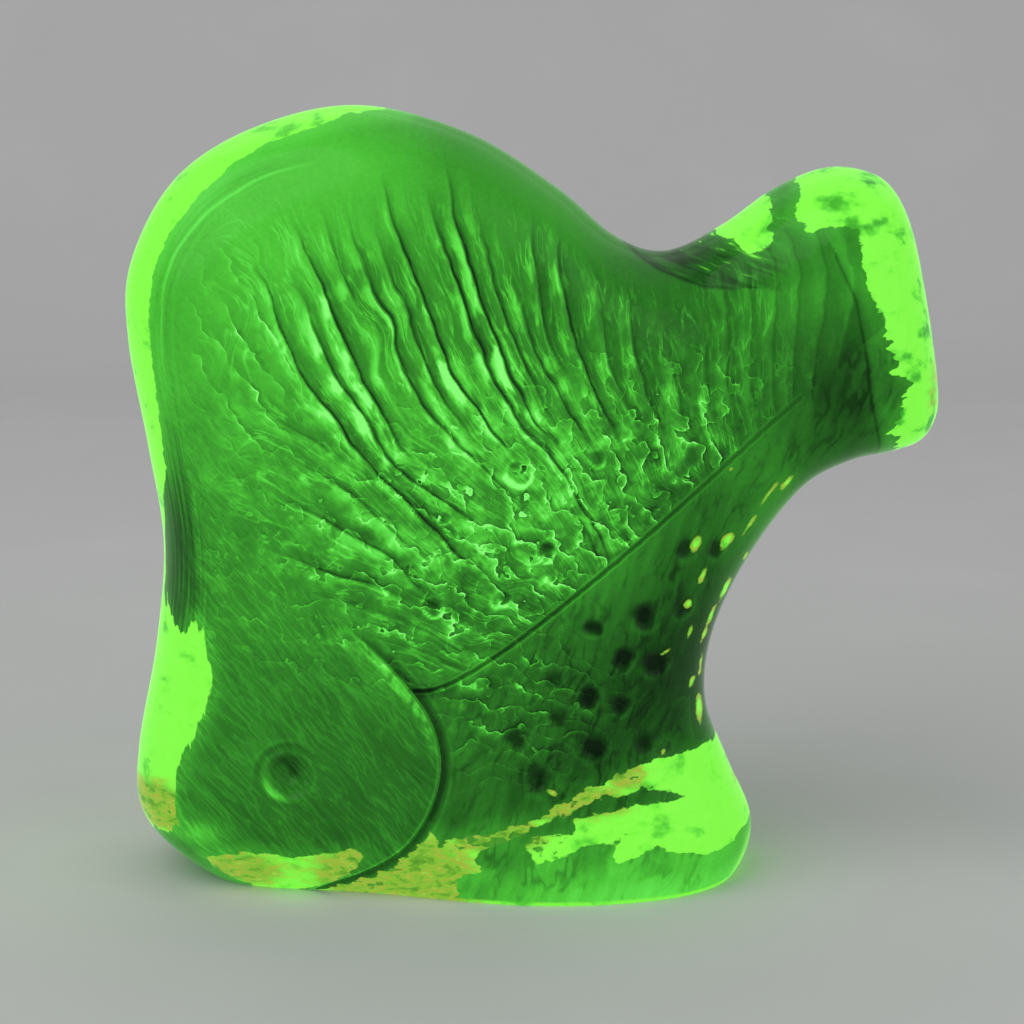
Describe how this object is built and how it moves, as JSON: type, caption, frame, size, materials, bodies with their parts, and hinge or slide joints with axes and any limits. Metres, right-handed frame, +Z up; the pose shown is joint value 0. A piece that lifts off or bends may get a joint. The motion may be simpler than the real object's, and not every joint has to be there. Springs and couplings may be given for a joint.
{
  "type": "glass fish figure",
  "caption": "Solid green uranium-glass fish figure with a humped back, raised flared tail and a flat base under its chin and foot.",
  "frame": {"origin": "middle of the overall box, on the surface that the figure stands on", "axes": "+X from the head to the tail, -Y is the fish's left side, +Z up"},
  "size_m": [0.1305, 0.0466, 0.1248],
  "materials": {
    "head_glass": "gloss, fine diagonal lines",
    "back_glass": "gloss over long ridges",
    "belly_glass": "gloss with round dimples",
    "tail_glass": "smooth gloss",
    "foot_glass": "smooth gloss",
    "eye_glass": "gloss",
    "pupil_glass": "gloss"
  },
  "bodies": {
    "root": {"head": "head_glass", "back": "back_glass", "belly": "belly_glass", "tail": "tail_glass", "foot": "foot_glass", "eye_left": "eye_glass", "eye_right": "eye_glass", "pupil_left": "pupil_glass", "pupil_right": "pupil_glass"}
  },
  "joints": []
}
